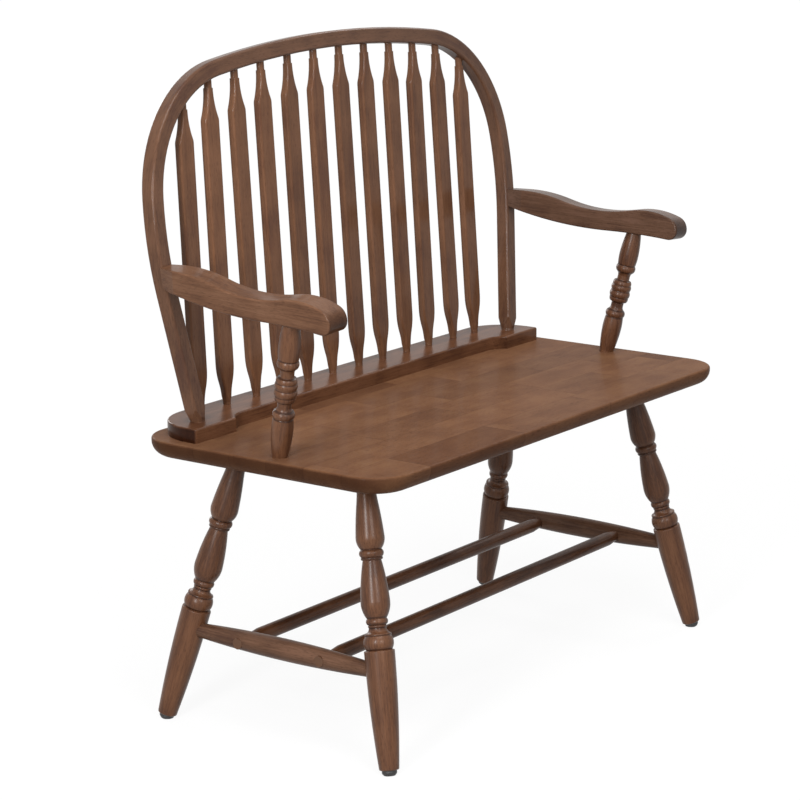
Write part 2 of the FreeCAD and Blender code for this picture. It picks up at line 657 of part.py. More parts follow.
# Arm posts
ring, neck, barrel = "post_ring_d / 2 - 2", "post_neck_d / 2", "post_barrel_d / 2"
low = "post_lower_vase + 19"
mid = "(%s) + post_ring_width + post_neck_length" % low
top = "(%s) + post_barrel_length + post_neck_length" % mid
post = turned("arm_post_right", [
    ("0", "-post_foot_depth", None),
    ("post_end_d / 2 - 1", "-post_foot_depth", None),
    ("post_end_d / 2", "1 - post_foot_depth", None),
    ("post_end_d / 2", "2.4", bulge("0.9")),
    ("post_vase_d / 2", "post_lower_vase", bulge("0.35")),
    ("post_vase_d / 2 - 1.3", low, None),
    (ring, "(%s) + 0.8" % low, bulge("2")),
    (ring, "(%s) + post_ring_width" % low, bulge("-1.2")),
    (neck, "(%s) + post_ring_width + 8" % low, None),
    (neck, "(%s) - 2.6" % mid, bulge("-0.5")),
    (barrel + " - 3", mid, bulge("0.7")),
    (barrel + " - 1.5", "(%s) + post_barrel_length * 0.2" % mid, None),
    (barrel + " - 1.3", "(%s) + post_barrel_length * 0.23" % mid, bulge("1.3")),
    (barrel + " - 1.3", "(%s) + post_barrel_length * 0.49" % mid, None),
    (barrel + " - 1.6", "(%s) + post_barrel_length * 0.52" % mid, None),
    (barrel + " - 1.4", "(%s) + post_barrel_length * 0.56" % mid, bulge("1.1")),
    (barrel + " - 1.6", "(%s) + post_barrel_length * 0.79" % mid, None),
    (barrel + " - 1.9", "(%s) + post_barrel_length * 0.81" % mid, bulge("0.8")),
    (barrel + " - 3.2", "(%s) + post_barrel_length" % mid, bulge("-0.5")),
    (neck, "(%s) + post_barrel_length + 2.6" % mid, None),
    (neck, "(%s) - 8" % top, bulge("-1.2")),
    (ring, top, bulge("2")),
    (ring, "(%s) + post_ring_width" % top, None),
    ("post_vase_d / 2 - 1.2", "(%s) + post_ring_width + 0.9" % top, bulge("0.4")),
    ("post_vase_d / 2", "post_length - post_upper_vase", bulge("0.8")),
    ("post_end_d / 2", "post_length - 2", None),
    ("post_end_d / 2", "post_length + post_head_depth - 1", None),
    ("post_end_d / 2 - 1", "post_length + post_head_depth", None),
    ("0", "post_length + post_head_depth", None)])
finished["arm_post_right"] = put(post, post_spot["right"])
mirrored_copy("arm_post_left", post)

# Seat
seat = body("seat_blank")
h, f, r, c = "seat_length / 2", "seat_front", "seat_rear", "seat_corner"
turn = ("radius", "seat_corner", True)
plan = outline(sketch(seat, "seat_plan", "XY"), [
    ("-%s + %s" % (h, c), f, None), ("%s - %s" % (h, c), f, turn),
    (h, "%s + %s" % (f, c), None), (h, "%s - %s" % (r, c), turn),
    ("%s - %s" % (h, c), r, None), ("-%s + %s" % (h, c), r, turn),
    ("-" + h, "%s - %s" % (r, c), None), ("-" + h, "%s + %s" % (f, c), turn)])
plank = pad(seat, "seat_plank", plan, "seat_thickness")
level = lambda z: lambda e: abs(e.BoundBox.ZMin - z) < 1e-4 and abs(e.BoundBox.ZMax - z) < 1e-4
soft = round_edges(seat, "seat_top_edge", plank, "seat_top_round", level(val("seat_thickness")))
round_edges(seat, "seat_under_edge", soft, "seat_under_round", level(0.0))
put(seat, at("0", "0", "seat_under"))
holes = []
for spot, place in leg_spot.items():
    long = spot.split("_")[0] + "_leg_length"
    holes.append(drill("leg_socket_" + spot, "leg_tenon_d + 2 * glue_gap", "leg_tenon_depth + 20 + end_gap",
                       place, at("0", "0", long + " - 20")))
for side in ("left", "right"):
    holes.append(drill("post_socket_" + side, "post_end_d + 2 * glue_gap", "post_foot_depth + end_gap + 10",
                       post_spot[side], at("0", "0", "-post_foot_depth - end_gap")))
rail_screws = []
rail_pilots = []
for i, x in enumerate(("-rail_screw_outer", "-rail_screw_inner", "rail_screw_inner", "rail_screw_outer")):
    spot = at(x, "rail_screw_y", "seat_under")
    screw = turned("rail_screw_%d" % (i + 1), [
        ("0", "0.3", None), ("screw_head_d / 2", "0.3", None),
        ("screw_d / 2", "0.3 + screw_head_rise", None),
        ("screw_d / 2", "rail_screw_length - 4", None), ("0", "rail_screw_length", None)])
    rail_screws.append(put(screw, spot))
    holes.append(drill("screw_way_%d" % (i + 1), "screw_d + 2 * glue_gap", "seat_thickness + 2", spot, at("0", "0", "-1")))
    holes.append(cone("screw_sink_%d" % (i + 1), "screw_head_d + 4 * glue_gap + 0.8", "screw_d + 2 * glue_gap",
                      "screw_head_rise + 0.4", spot, at("0", "0", "-0.1")))
    rail_pilots.append(drill("screw_pilot_%d" % (i + 1), "screw_d + 2 * glue_gap",
                             "rail_screw_length - seat_thickness + 1 + end_gap", spot, at("0", "0", "seat_thickness - 1")))
cut("seat_panel", seat, holes)

# Back rail
rail = body("rail_blank")
h, e = "rail_length / 2", "rail_front_corner"
big, cove, small = ("radius", "rail_rear_corner", True), ("radius", "rail_cove_radius", True), ("radius", e, True)
hollow = ("radius", "rail_cove_radius", False)
plan = outline(sketch(rail, "rail_plan", "XY"), [
    ("-%s + %s" % (h, e), "rail_block_front", None),
    ("-rail_cove_x", "rail_block_front", hollow),
    ("-rail_cove_x + rail_cove_length", "rail_front", None),
    ("rail_cove_x - rail_cove_length", "rail_front", hollow),
    ("rail_cove_x", "rail_block_front", None),
    ("%s - %s" % (h, e), "rail_block_front", small),
    (h, "rail_block_front + " + e, None),
    (h, "rail_rear - rail_rear_corner", big),
    (h + " - rail_rear_corner", "rail_rear", None),
    ("-%s + rail_rear_corner" % h, "rail_rear", big),
    ("-" + h, "rail_rear - rail_rear_corner", None),
    ("-" + h, "rail_block_front + " + e, small)])
board = pad(rail, "rail_board", plan, "rail_height")
round_edges(rail, "rail_top_edge", board, "rail_edge_round", level(val("rail_height")))
put(rail, at("0", "0", "seat_height"))
holes = list(rail_pilots)
for k, s, name in spindles:
    holes.append(drill("foot_socket_" + name, "spindle_rod_d + 2 * glue_gap", "spindle_foot_depth + end_gap + 12",
                       spindle_spot[name], at("0", "0", "-spindle_foot_depth - end_gap")))
foot_turn = {"left": "bow_turn_3 - 90", "right": "90 - bow_turn_3"}
for side, s in (("left", "-1"), ("right", "1")):
    place = at(s + " * bow_foot_x", "0", "0", [("y", foot_turn[side])])
    holes.append(drill("bow_socket_" + side, "bow_foot_d + 2 * glue_gap", "bow_foot_depth + end_gap + 10",
                       bow_spot, place, at("0", "0", "-bow_foot_depth - end_gap")))
cut("back_rail", rail, holes)

# Bow: its arcs drawn once inside and once outside, made thick, rounded along the edges, its feet turned
bow = body("bow_blank")
along = lambda d: ("bow_foot_x - (%s) * cos(bow_turn_3)" % d, "(%s) * sin(bow_turn_3)" % d)


def foot_point(d, radial):
    x, z = along(d)
    return ("%s + (%s) * sin(bow_turn_3)" % (x, radial), "%s + (%s) * cos(bow_turn_3)" % (z, radial), None)


def rim(edge, side):
    """Joints of one edge of the bow from its apex down to the tenon end."""
    spots = []
    for joint, x, z, radius in (("bow_top_sweep", "0", "bow_z1", "bow_top_radius"),
                                ("bow_turn_2", "bow_x2", "bow_z2", "bow_shoulder_radius"),
                                ("bow_turn_3", "bow_x3", "bow_z3", "bow_side_radius")):
        reach = "(%s + %s * bow_width / 2)" % (radius, edge)
        spots.append(("%s * (%s + %s * sin(%s))" % (side, x, reach, joint), "%s + %s * cos(%s)" % (z, reach, joint)))
    x, z, _ = foot_point("-bow_foot_depth", edge + " * bow_width / 2")
    return spots + [("%s * (%s)" % (side, x), z)]


def bow_arcs(edge, sides, outward):
    """The whole edge from one foot over the top to the other."""
    bends = [("radius", "%s + %s * bow_width / 2" % (r, edge), outward) for r in
             ("bow_top_radius", "bow_shoulder_radius", "bow_side_radius")]
    up, down = rim(edge, sides[0])[::-1], rim(edge, sides[1])
    kinds = [None, bends[2], bends[1], bends[0], bends[1], bends[2], None, None]
    return [spot + (kind,) for spot, kind in zip(up + down, kinds)]


hoop = outline(sketch(bow, "bow_outline", "XZ"), bow_arcs("1", ("1", "-1"), True) + bow_arcs("-1", ("-1", "1"), False))
plank = pad(bow, "bow_thickness", hoop, "bow_depth", True)
long_edge = lambda e: abs(e.BoundBox.YMax - e.BoundBox.YMin) < 1e-3 and e.Length > val("bow_width + 5")
rounded = round_edges(bow, "bow_edges", plank, "bow_edge_round", long_edge)
lathe = sketch(bow, "bow_foot_profile", "XZ")
outline(lathe, [
    foot_point("-bow_foot_depth - 3", "bow_foot_d / 2 - 1"),
    foot_point("-bow_foot_depth - 3", "40"),
    foot_point("bow_foot_taper * 1.6", "40"),
    foot_point("bow_foot_taper * 1.6", "bow_foot_d / 2 + 7.6"),
    foot_point("1", "bow_foot_d / 2"),
    foot_point("1 - bow_foot_depth", "bow_foot_d / 2")])
a, b = foot_point("-40", "0"), foot_point("40", "0")
axis = lathe.addGeometry(Part.LineSegment(V(val(a[0]), val(a[1]), 0), V(val(b[0]), val(b[1]), 0)), True)
for pos, p in ((1, a), (2, b)):
    for k, kind in ((0, "DistanceX"), (1, "DistanceY")):
        n = lathe.addConstraint(Sketcher.Constraint(kind, -1, 1, axis, pos, val(p[k])))
        lathe.setExpression("Constraints[%d]" % n, ex(p[k]))
groove = bow.newObject("PartDesign::Groove", "bow_foot_turning")
groove.Profile = lathe
groove.ReferenceAxis = (lathe, ["Axis0"])
groove.Angle = 360
groove.recompute(True)
mirrored = bow.newObject("PartDesign::Mirrored", "bow_other_foot")
mirrored.Originals = [groove]
mirrored.MirrorPlane = ([f for f in bow.Origin.OriginFeatures if f.Role == "YZ_Plane"][0], [""])
bow.Tip = mirrored
put(bow, bow_spot)
holes = []
for k, s, name in spindles:
    holes.append(drill("head_socket_" + name, "spindle_rod_d + 2 * glue_gap", "bow_width + spindle_head_past + end_gap",
                       spindle_spot[name], at("0", "0", "spindle_length_%d - bow_width" % k)))
arm_screws = []
arm_plugs = []
arm_pilots = {}
for side, s in (("left", "-1"), ("right", "1")):
    line = [bow_spot, at(s + " * arm_fix_x", "bow_depth / 2", "arm_fix_z", [("x", "90")])]
    screw = turned("arm_screw_" + side, [
        ("0", "plug_depth", None), ("screw_head_d / 2", "plug_depth", None),
        ("screw_d / 2", "plug_depth + screw_head_rise", None),
        ("screw_d / 2", "arm_screw_length - 4", None), ("0", "arm_screw_length", None)])
    arm_screws.append(put(screw, *line))
    plug = turned("arm_plug_" + side, [
        ("0", "0", None), ("plug_d / 2", "0", None), ("plug_d / 2", "plug_depth - glue_gap", None),
        ("0", "plug_depth - glue_gap", None)])
    arm_plugs.append(put(plug, *line))
    holes.append(drill("plug_hole_" + side, "plug_d + 2 * glue_gap", "plug_depth + 1", *(line + [at("0", "0", "-1")])))
    holes.append(cone("arm_screw_sink_" + side, "screw_head_d + 4 * glue_gap", "screw_d + 2 * glue_gap", "screw_head_rise",
                      *(line + [at("0", "0", "plug_depth")])))
    holes.append(drill("arm_screw_way_" + side, "screw_d + 2 * glue_gap", "bow_depth + 2", *line))
    arm_pilots[side] = drill("arm_pilot_" + side, "screw_d + 2 * glue_gap", "arm_screw_length - bow_depth + 4 + end_gap",
                             *(line + [at("0", "0", "bow_depth - 4")]))
cut("bow", bow, holes)

# Spindles: a flat arrow blade between two round rods
for k, s, name in spindles[6:]:
    b = body(name)
    rod, blade, low = "spindle_rod_d / 2", "spindle_blade / 2", "spindle_blade_start"
    high = "spindle_length_%d - spindle_shoulder_drop" % k
    neck = "(%s) + spindle_upper_flare" % high
    right = [
        (rod, low, ("radius", "spindle_lower_radius", False)),
        ("(%s + %s) / 2" % (rod, blade), "%s + spindle_lower_flare / 2" % low, ("radius", "spindle_lower_radius", True)),
        (blade, "%s + spindle_lower_flare" % low, None),
        (blade, high, ("radius", "spindle_shoulder_round", True)),
        ("%s - spindle_shoulder_round * (1 - cos(spindle_upper_turn))" % blade,
         "%s + spindle_shoulder_round * sin(spindle_upper_turn)" % high, ("radius", "spindle_hollow_radius", False)),
        (rod, neck, None)]
    left = []
    for i in range(len(right) - 1, -1, -1):
        bend = right[i - 1][2] if i > 0 else None
        left.append(("-1 * (%s)" % right[i][0], right[i][1], bend))
    face = outline(sketch(b, name + "_face", "XZ"), right + left)
    slab = pad(b, name + "_blade", face, "spindle_thickness", True)
    lift = lambda e: abs(e.BoundBox.YMin - e.BoundBox.YMax) < 1e-4 and e.BoundBox.ZLength > 1
    soft = round_edges(b, name + "_edges", slab, "spindle_round", lift)
    for end, z, way in (("foot", low, "1"), ("head", neck, "-1")):
        cone_sketch = outline(sketch(b, "%s_%s_taper" % (name, end), "XZ"), [
            (rod, "%s - %s * 0.2" % (z, way), None), (rod, z, None),
            ("%s + 4.4" % rod, "%s + %s * spindle_end_taper" % (z, way), None),
            (blade + " + 8", "%s + %s * spindle_end_taper" % (z, way), None),
            (blade + " + 8", "%s - %s * 0.2" % (z, way), None)][::int(way)])
        taper = b.newObject("PartDesign::Groove", "%s_%s_rounding" % (name, end))
        taper.Profile = cone_sketch
        taper.ReferenceAxis = (cone_sketch, ["V_Axis"])
        taper.Angle = 360
        taper.Refine = False
    for end, start, long in (("foot", "-spindle_foot_depth", "spindle_foot_depth + %s + 3" % low),
                             ("head", neck + " - 3", "spindle_length_%d - (%s) + 3 + spindle_head_past" % (k, neck))):
        ring = sketch(b, "%s_%s_circle" % (name, end), "XY", start)
        ring.addGeometry(Part.Circle(V(0, 0, 0), V(0, 0, 1), val(rod)), False)
        ring.addConstraint(Sketcher.Constraint("Coincident", 0, 3, -1, 1))
        n = ring.addConstraint(Sketcher.Constraint("Radius", 0, val(rod)))
        ring.setExpression("Constraints[%d]" % n, ex(rod))
        pad(b, "%s_%s_rod" % (name, end), ring, long)
    finished[name] = put(b, spindle_spot[name])
    mirrored_copy(spindles[6 - k][2], b)

# Arms: sawn to one S-shaped profile of tangent arcs, cut to lie flat on the front of the bow
back_face = doc.addObject("Part::Box", "behind_arms")
back_face.setExpression("Length", ex("2 * seat_length"))
back_face.setExpression("Width", ex("bow_rise"))
back_face.setExpression("Height", ex("2 * bow_rise"))
put(back_face, bow_spot, at("-seat_length", "-bow_depth / 2 - glue_gap", "-bow_rise"))
blank = body("arm_blank")
profile = outline(sketch(blank, "arm_profile", "XZ"), arm_points)
slab = pad(blank, "arm_slab", profile, "arm_width", True)
smooth = lambda e: abs(e.BoundBox.YMax - e.BoundBox.YMin) < 1e-3 and e.BoundBox.XMax > val("40 - arm_reach")
soft = round_edges(blank, "arm_edges", slab, "arm_edge_round", smooth)
cheeks = sketch(blank, "arm_cheeks", "XY")
for t in ("1", "-1"):
    outline(cheeks, [("-arm_reach - 14", "%s * (arm_width / 2 - arm_cheek_cut - 3)" % t, None),
                     ("-arm_reach - 14", "%s * (arm_width / 2 + 2)" % t, None),
                     ("-arm_reach + arm_cheek_length + 8", "%s * (arm_width / 2 + 2)" % t, None)])
shave = blank.newObject("PartDesign::Pocket", "arm_shave")
shave.Profile = cheeks
shave.Type = "ThroughAll"
shave.Midplane = True
shave.recompute(True)
if shave.Shape.Volume > soft.Shape.Volume - 100:
    raise RuntimeError("the cheek cut of the arm removed nothing")
post_hole = drill("arm_socket", "post_end_d + 2 * glue_gap", "post_head_depth + 12 + end_gap",
                  post_spot["right"], at("0", "0", "post_length - 12"))
arm = cut("arm_right", put(blank, arm_spot["right"]), [back_face, post_hole, arm_pilots["right"]])
mirrored_copy("arm_left", arm)

# Fasteners that are all alike share one node
for label, members in (("glide_nails", nails), ("rail_screws", rail_screws), ("arm_screws", arm_screws), ("arm_plugs", arm_plugs)):
    group = doc.addObject("Part::Compound", label)
    group.Links = members
    group.Label = label
    finished[label] = group

doc.recompute()
for obj in doc.Objects:
    if "Invalid" in obj.State or "Error" in obj.State:
        raise RuntimeError("%s failed: %s" % (obj.Name, obj.State))
    if obj.isDerivedFrom("Sketcher::SketchObject") and obj.solve() != 0:
        raise RuntimeError("sketch %s has no solution" % obj.Name)
os.makedirs("parts", exist_ok=True)
for label, obj in sorted(finished.items()):
    shape = obj.Shape
    if not shape.isValid() or not shape.Solids:
        raise RuntimeError("%s is not a valid solid" % label)
    shape.exportStep("parts/%s.step" % label)
    print("%-22s solids %d volume %.0f" % (label, len(shape.Solids), shape.Volume))
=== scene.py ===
# %% [markdown]
# # A Windsor settee in stained rubberwood
#
# The bench was drawn and built as solids first. This script brings those solids in, gives each one the finish
# of the real piece, and sets up a plain white studio to look at them in. Nothing about the size of the bench
# is decided here. We start by loading the solids, and with a way to find the box that each one fills.

# %% Load the bench
import math
import bpy
from mathutils import Matrix, Vector


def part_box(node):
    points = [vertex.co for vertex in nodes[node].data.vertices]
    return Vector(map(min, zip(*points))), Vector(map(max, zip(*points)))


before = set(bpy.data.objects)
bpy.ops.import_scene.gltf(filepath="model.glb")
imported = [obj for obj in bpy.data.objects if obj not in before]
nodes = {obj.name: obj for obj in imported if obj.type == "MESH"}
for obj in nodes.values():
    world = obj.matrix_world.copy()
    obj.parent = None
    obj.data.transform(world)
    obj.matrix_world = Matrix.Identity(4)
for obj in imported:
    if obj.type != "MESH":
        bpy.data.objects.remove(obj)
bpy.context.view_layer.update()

# %% [markdown]
# ## Colours and nodes
#
# A painter picks a colour on a screen, as a hex value. The renderer adds up light, so it wants linear
# numbers. One function turns the first into the second. One more adds a node of any kind, with its settings
# and its links. Every material is written with it, so that it reads from top to bottom like a recipe.


# %% Helpers
def linear(code):
    """sRGB hex to linear light: v/12.92 below 0.04045, and ((v + 0.055)/1.055)^2.4 above it."""
    parts = [int(code[i:i + 2], 16) / 255 for i in (1, 3, 5)]
    return [v / 12.92 if v <= 0.04045 else ((v + 0.055) / 1.055) ** 2.4 for v in parts] + [1.0]


def add(tree, kind, *values, **named):
    """A node of any kind. The values fill its inputs in order.

    A name in small letters is a setting. A name with a capital, or a number such as _6, is one more input.
    A node or a socket is linked, and a hex colour is made linear.
    """
    node = tree.nodes.new("ShaderNode" + kind)
    inputs = list(enumerate(values))
    for key, value in named.items():
        if key[0].islower():
            setattr(node, key, value)
        else:
            inputs.append((int(key[1:]) if key[0] == "_" else key.replace("_", " "), value))
    for place, value in inputs:
        if isinstance(value, bpy.types.Node):
            value = value.outputs[0]
        if isinstance(value, bpy.types.NodeSocket):
            tree.links.new(value, node.inputs[place])
        else:
            node.inputs[place].default_value = linear(value) if isinstance(value, str) else value
    return node


def empty_tree(block):
    """The node tree of a material or a world, with nothing in it."""
    block.use_nodes = True
    block.node_tree.nodes.clear()
    return block.node_tree


def blank(name):
    """A new material and its node tree, with nothing in it."""
    material = bpy.data.materials.new(name)
    return material, empty_tree(material)


print("chestnut in linear light:", [round(v, 3) for v in linear("#6b4a37")])

# %% [markdown]
# ## Stained rubberwood
#
# The bench is a pale, even hardwood, most likely rubberwood, wiped with a walnut-brown stain and sprayed
# with satin lacquer. Three things give the wood away. Faint dark pores run along the grain as short dashes.
# The stain takes unevenly, in soft clouds a few centimetres across and in long streaks. Sawn ends drink
# more stain than faces, so they come out darker. Noise that is stretched along one axis gives the first
# two, and the angle between the surface and the grain gives the third.
#
# Pores in rubberwood are only 0.2 mm wide, too fine to show from this far away, so they are drawn 0.9 mm
# wide.
#
# The lacquer is thin and has lost most of its gloss. We give the wood below it hardly any sheen, and lay a
# weak clear coat on top. The coat is what draws a soft line of light along a rounded edge.

# %% The wood recipe
FIBRES = (0.0024, 0.055, 2.0)   # width and length of the marks in metres, and the detail of their noise
BANDS = (0.014, 0.23, 2.0)
CLOUDS = (0.045, 0.06, 1.0)
PORES = (0.0009, 0.009, 0.0)
FIBRE_SHARE = 0.34              # parts of the tone; the clouds give what is left
BAND_SHARE = 0.36
NOISE_ROUGHNESS = 0.55
DARK_AT, MID_AT, LIGHT_AT = 0.39, 0.50, 0.63    # noise keeps close to one half, so the tones lie close too
PORE_EDGE, PORE_HEART = 0.62, 0.72              # only the peaks of the finest noise are pores
PORE_STAIN, PORE_COLOUR = 0.3, "#6a5044"        # how much of the stain a pore holds, and its colour
END_COLOUR = "#7d6a60"                          # the stain that a sawn end drinks
RELIEF, RELIEF_STRENGTH = 0.00012, 0.25         # depth of the grain in metres, and how much of it shows
LACQUER_IOR = 1.5


def grain(tree, place, light, mid, dark, streak=1.0):
    """Colour and height of the wood. place is a position in metres whose Z runs along the grain.

    Each layer is noise on that position, divided by the size of its marks. A streak below 1 takes some of the
    tone from the fibres and bands and gives it to the clouds.
    """
    def marks(across, along, detail):
        scaled = add(tree, "VectorMath", place, (1 / across, 1 / across, 1 / along), operation="MULTIPLY")
        return add(tree, "TexNoise", Vector=scaled, Scale=1.0, Detail=detail, Roughness=NOISE_ROUGHNESS)

    fibre, band, cloud, pore = marks(*FIBRES), marks(*BANDS), marks(*CLOUDS), marks(*PORES)
    fibre_part = add(tree, "Math", fibre, FIBRE_SHARE * streak, operation="MULTIPLY")
    band_part = add(tree, "Math", band, BAND_SHARE * streak, operation="MULTIPLY")
    cloud_part = add(tree, "Math", cloud, 1.0 - (FIBRE_SHARE + BAND_SHARE) * streak, operation="MULTIPLY")
    streaks = add(tree, "Math", fibre_part, band_part, operation="ADD")
    ramp = add(tree, "ValToRGB", add(tree, "Math", streaks, cloud_part, operation="ADD"))
    stops = ramp.color_ramp.elements
    stops[0].position, stops[0].color = DARK_AT, linear(dark)
    stops[1].position, stops[1].color = LIGHT_AT, linear(light)
    stops.new(MID_AT).color = linear(mid)
    pits = add(tree, "MapRange", pore, From_Min=PORE_EDGE, From_Max=PORE_HEART)
    amount = add(tree, "Math", pits, PORE_STAIN, operation="MULTIPLY")
    pitted = add(tree, "Mix", amount, _6=ramp, _7=PORE_COLOUR, data_type="RGBA", blend_type="MULTIPLY")
    return pitted.outputs[2], add(tree, "Math", fibre, pits, operation="SUBTRACT")


def lacquer(tree, colour, height, roughness=0.40, sheen=0.05, film=0.16, film_roughness=0.16):
    """Satin lacquer: a thin clear film that mirrors the lamps, over wood that itself has hardly any sheen."""
    bump = add(tree, "Bump", Strength=RELIEF_STRENGTH, Distance=RELIEF, Height=height)
    surface = add(tree, "BsdfPrincipled", Base_Color=colour, Normal=bump, Roughness=roughness,
                  IOR=LACQUER_IOR, Specular_IOR_Level=sheen, Coat_Weight=film,
                  Coat_Roughness=film_roughness)
    add(tree, "OutputMaterial", surface)


def facing(tree, direction):
    """How squarely the surface faces a direction, either way round: the square of normal . direction."""
    normal = add(tree, "TexCoord").outputs["Normal"]
    cosine = add(tree, "VectorMath", normal, direction, operation="DOT_PRODUCT").outputs[1]
    return add(tree, "Math", cosine, cosine, operation="MULTIPLY")


def end_grain(tree, colour, direction, strength=0.6):
    """Darkens the colour by how squarely the surface cuts the grain."""
    amount = add(tree, "Math", facing(tree, direction), strength, operation="MULTIPLY")
    darker = add(tree, "Mix", amount, _6=colour, _7=END_COLOUR, data_type="RGBA", blend_type="MULTIPLY")
    return darker.outputs[2]


def along_piece(tree, start, direction, mirror=False):
    """A position whose Z runs from start along direction. mirror folds the left half onto the right one."""
    place = add(tree, "TexCoord").outputs["Object"]
    if mirror:
        x, y, z = add(tree, "SeparateXYZ", place).outputs
        place = add(tree, "CombineXYZ", add(tree, "Math", x, operation="ABSOLUTE"), y, z)
    turn = Vector(direction).to_track_quat("Z", "Y").to_euler()
    return add(tree, "Mapping", place, Location=start, Rotation=turn, vector_type="TEXTURE")


def elsewhere(tree, place, random_colour, reach):
    """The place, moved by up to reach metres in a random direction, where another piece of wood shows."""
    jump = add(tree, "VectorMath", random_colour, Scale=reach, operation="SCALE")
    return add(tree, "VectorMath", place, jump, operation="ADD")


def dress(material, *names):
    """Every slot of the named solids takes the material."""
    for name in names:
        for slot in nodes[name].material_slots:
            slot.material = material
        if not nodes[name].material_slots:
            nodes[name].data.materials.append(material)
    print(material.name, "on", len(names), "pieces")


# %% [markdown]
# ## The seat
#
# A seat this wide is not one board. It is glued up from staves about 69 mm wide, and each stave from short
# blocks, so the tone steps from block to block. We number the rows from the front edge, shift and stretch
# each row by a number of its own, and number the blocks along it. A hash of those two numbers picks the
# tone of a block, and also moves the grain, so that no two neighbours continue each other.
#
# The seat is painted darker where its surface turns away from the top: painted shade on its rounded edges and
# underside.

# %% Seat planks
STAVE = 0.0693                      # width of a row; these are all in metres
FIRST_ROW = 0.0068                  # where the first row starts, behind the front edge
SHORTEST_BLOCK = 0.15
BLOCK_SPREAD = 0.12
ROW_SHIFT = 1.7
BLOCK_REACH = 3.0
FRONT_EDGE = 0.02                   # in rows: the rounded edge before the first row belongs to it
SEAM = (0.488, 0.498)               # start and full strength of the line between rows, from a row's middle
JOINT = (0.495, 0.499)              # the same between blocks
GLUE_LINE, GLUE_COLOUR = 0.35, "#8a7062"        # strength of those lines, and their colour
TURNED_AWAY = (0.95, 0.3)           # upward part of the normal where an edge starts to darken and is darkest
EDGE_SHADE, EDGE_SHADE_COLOUR = 0.30, "#a08a7e"         # strength and colour of the painted shade on that edge
STREAK = 0.66
DARK_BLOCKS = 0.16                  # the share of the blocks that is clearly darker
ROW_SEED, BLOCK_SEED = 3.0, 7.0


def line_between(tree, count, start, full):
    """1 on the line between two numbered strips and 0 elsewhere. count grows by one from strip to strip."""
    centred = add(tree, "Math", add(tree, "Math", count, operation="FRACT"), 0.5, operation="SUBTRACT")
    from_middle = add(tree, "Math", centred, operation="ABSOLUTE")
    return add(tree, "MapRange", from_middle, From_Min=start, From_Max=full)


material, tree = blank("rubberwood_butcher_block")
here = add(tree, "TexCoord").outputs
x, y, z = add(tree, "SeparateXYZ", here["Object"]).outputs
from_front = add(tree, "Math", y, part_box("seat_panel")[0][1] + FIRST_ROW, operation="SUBTRACT")
rows = add(tree, "Math", from_front, STAVE, operation="DIVIDE")
row_place = add(tree, "Math", rows, FRONT_EDGE, operation="MAXIMUM")
row = add(tree, "Math", row_place, operation="FLOOR")
row_number = add(tree, "Math", row, ROW_SEED, operation="ADD")
row_value = add(tree, "TexWhiteNoise", W=row_number, noise_dimensions="1D")
extra = add(tree, "Math", row_value, BLOCK_SPREAD, operation="MULTIPLY")
length = add(tree, "Math", extra, SHORTEST_BLOCK, operation="ADD")
shift = add(tree, "Math", row_value, ROW_SHIFT, operation="MULTIPLY")
shifted = add(tree, "Math", x, shift, operation="ADD")
block_place = add(tree, "Math", shifted, length, operation="DIVIDE")
block = add(tree, "Math", block_place, operation="FLOOR")
both = add(tree, "CombineXYZ", row, block, BLOCK_SEED)
block_value, block_colour = add(tree, "TexWhiteNoise", Vector=both, noise_dimensions="3D").outputs
stave_place = elsewhere(tree, add(tree, "CombineXYZ", z, y, x), block_colour, BLOCK_REACH)
colour, height = grain(tree, stave_place, "#7a5a42", "#73533d", "#6b4c38", STREAK)

# %% Seat tones and edges
tint = add(tree, "ValToRGB", block_value)
stops = tint.color_ramp.elements
stops[0].color, stops[1].color = linear("#d3c6c0"), linear("#fff6ee")
stops.new(DARK_BLOCKS).color = linear("#ece4df")
colour = add(tree, "Mix", 1.0, _6=colour, _7=tint, data_type="RGBA", blend_type="MULTIPLY").outputs[2]
seams, joints = line_between(tree, row_place, *SEAM), line_between(tree, block_place, *JOINT)
line = add(tree, "Math", seams, joints, operation="MAXIMUM")
glue = add(tree, "Math", line, GLUE_LINE, operation="MULTIPLY")
glued = add(tree, "Mix", glue, _6=colour, _7=GLUE_COLOUR, data_type="RGBA", blend_type="MULTIPLY")
# Painted shade: the seat darkens where its surface turns away from the top, on its edges and underside.
upward = add(tree, "SeparateXYZ", here["Normal"]).outputs[2]
away = add(tree, "MapRange", upward, From_Min=TURNED_AWAY[0], From_Max=TURNED_AWAY[1])
edge = add(tree, "Math", away, EDGE_SHADE, operation="MULTIPLY")
edge_shaded = add(tree, "Mix", edge, _6=glued.outputs[2], _7=EDGE_SHADE_COLOUR, data_type="RGBA", blend_type="MULTIPLY")
sawn = end_grain(tree, edge_shaded.outputs[2], (1, 0, 0), 0.7)
lacquer(tree, sawn, height, roughness=0.50, sheen=0.02, film=0.035, film_roughness=0.14)
dress(material, "seat_panel")

# %% [markdown]
# ## The back rail and the arms
#
# These are sawn from boards, so their grain runs straight from end to end: along the bench in the rail, and
# from front to back in the arms. The arm's scroll is cut across that grain at the nose, which is why the
# nose is the darkest part of it. In the photograph the right arm is darker than the left one, so each has
# tones of its own.

# %% Rail and arms
RAIL_START = (0, 0.167, 0.46)
ARM_TURN, ARM_FALL = 0.06, 0.03     # how far the arm's grain runs outward and down for each metre forward
ARM_TONES = {"left": ("#71513d", "#644532", "#513627"), "right": ("#63493c", "#573f31", "#463127")}

material, tree = blank("rubberwood_rail")
place = along_piece(tree, RAIL_START, (1, 0, 0))
colour, height = grain(tree, place, "#6c4833", "#5f3e2a", "#4c2f20")
lacquer(tree, end_grain(tree, colour, (1, 0, 0), 1.0), height, roughness=0.30, sheen=0.04, film=0.09,
        film_roughness=0.10)
dress(material, "back_rail")

